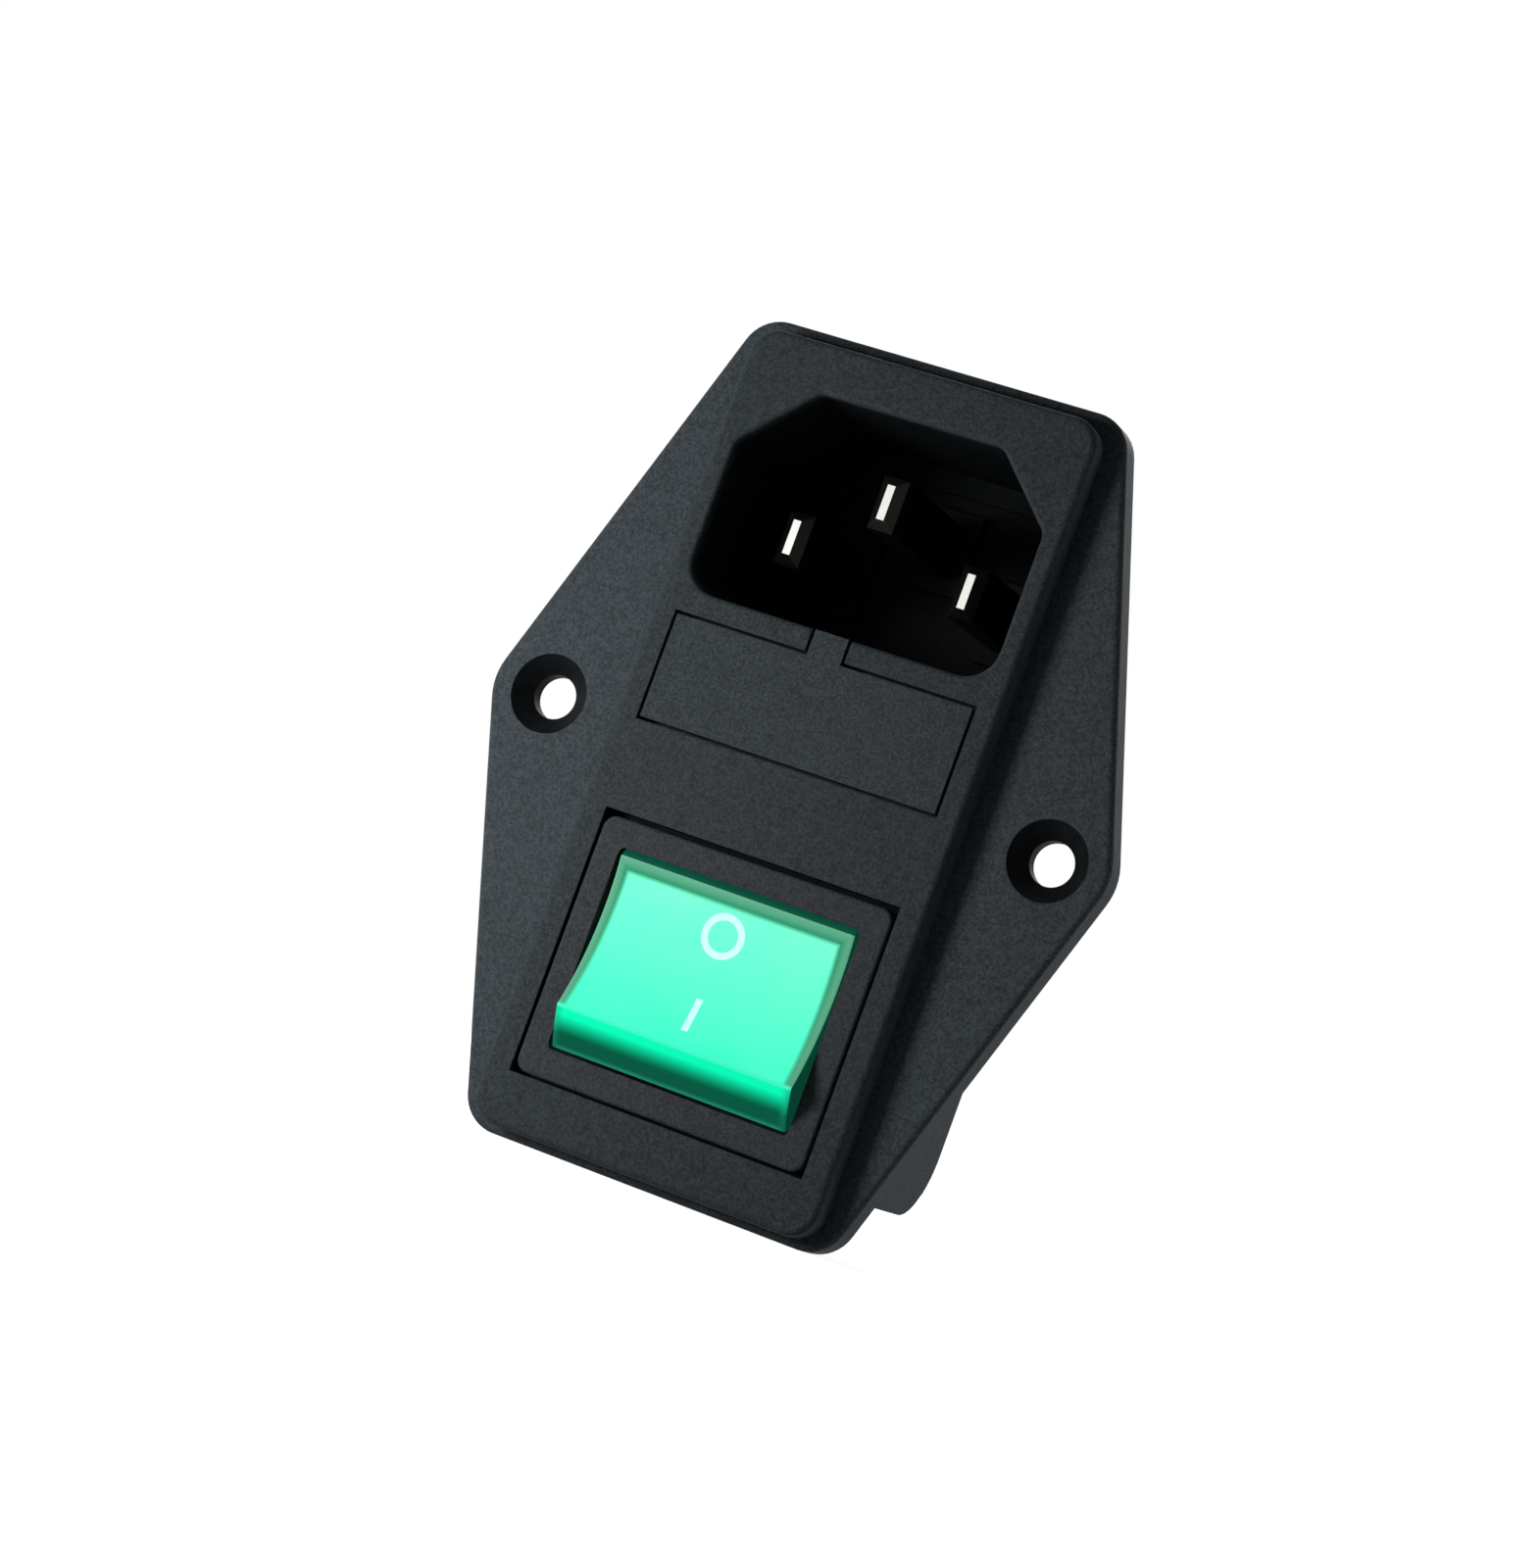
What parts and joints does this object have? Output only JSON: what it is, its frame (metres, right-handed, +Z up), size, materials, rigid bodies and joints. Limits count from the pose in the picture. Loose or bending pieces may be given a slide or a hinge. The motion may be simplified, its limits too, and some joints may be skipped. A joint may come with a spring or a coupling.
{
  "type": "power entry module",
  "caption": "Panel-mount mains inlet with earthed three-pin socket, pull-out fuse drawer and lit green rocker switch in one flanged black housing.",
  "frame": {"origin": "on the panel's face, midway between the two screw holes", "axes": "+X across the panel to the viewer's right, +Y into the panel, +Z up the panel from the switch to the inlet"},
  "size_m": [0.0492, 0.031, 0.0624],
  "materials": {
    "black_plastic": "fine spark-eroded matte black",
    "plated_brass": "satin nickel plate",
    "tab_brass": "bright stamped brass",
    "contact_silver": "silver",
    "clear_glass": "clear",
    "green_lens": "polished clear green",
    "diffuser": "milky",
    "plunger_plastic": "natural nylon",
    "spring_steel": "drawn wire",
    "resistor_body": "lacquered"
  },
  "bodies": {
    "root": {"housing": "black_plastic", "inlet_insert": "black_plastic", "line_pin": "plated_brass", "neutral_pin": "plated_brass", "earth_pin": "plated_brass", "fuse_link": "plated_brass", "fuse_clip_line": "plated_brass", "fuse_clip_load": "plated_brass", "switch_case": "black_plastic", "fixed_contact_left": "contact_silver", "fixed_contact_right": "contact_silver", "feed_terminal_left": "tab_brass", "feed_terminal_right": "tab_brass", "load_terminal_left": "tab_brass", "load_terminal_right": "tab_brass", "lamp_bulb": "clear_glass", "lamp_resistor": "resistor_body", "lamp_lead_left": "contact_silver", "lamp_lead_right": "contact_silver", "resistor_lead": "contact_silver"},
    "drawer": {"fuse_drawer": "black_plastic", "fuse_glass": "clear_glass", "fuse_cap_left": "plated_brass", "fuse_cap_right": "plated_brass", "fuse_wire": "contact_silver", "spare_fuse_glass": "clear_glass", "spare_fuse_cap_left": "plated_brass", "spare_fuse_cap_right": "plated_brass", "spare_fuse_wire": "contact_silver"},
    "rocker": {"rocker_lens": "green_lens", "rocker_body": "diffuser", "plunger_left": "plunger_plastic", "plunger_right": "plunger_plastic", "plunger_spring_left": "spring_steel", "plunger_spring_right": "spring_steel"},
    "bridge_left": {"contact_bridge_left": "tab_brass", "moving_contact_left": "contact_silver"},
    "bridge_right": {"contact_bridge_right": "tab_brass", "moving_contact_right": "contact_silver"}
  },
  "joints": [
    {"name": "drawer_slide", "type": "slide", "parent": "root", "child": "drawer", "axis": [0, -1, 0], "range_m": [0, 0.018]},
    {"name": "rocker_tilt", "type": "hinge", "parent": "root", "child": "rocker", "pos_m": [0, 0.00405, -0.0165], "axis": [1, 0, 0], "range_deg": [0, 16]},
    {"name": "bridge_tilt_left", "type": "hinge", "parent": "root", "child": "bridge_left", "pos_m": [-0.0055, 0.01195, -0.0165], "axis": [1, 0, 0], "range_deg": [-14, 0]},
    {"name": "bridge_tilt_right", "type": "hinge", "parent": "root", "child": "bridge_right", "pos_m": [0.0055, 0.01195, -0.0165], "axis": [1, 0, 0], "range_deg": [-14, 0]}
  ],
  "couplings": [
    {"joint": "bridge_tilt_left", "follows": "rocker_tilt", "ratio": -0.875},
    {"joint": "bridge_tilt_right", "follows": "rocker_tilt", "ratio": -0.875}
  ]
}
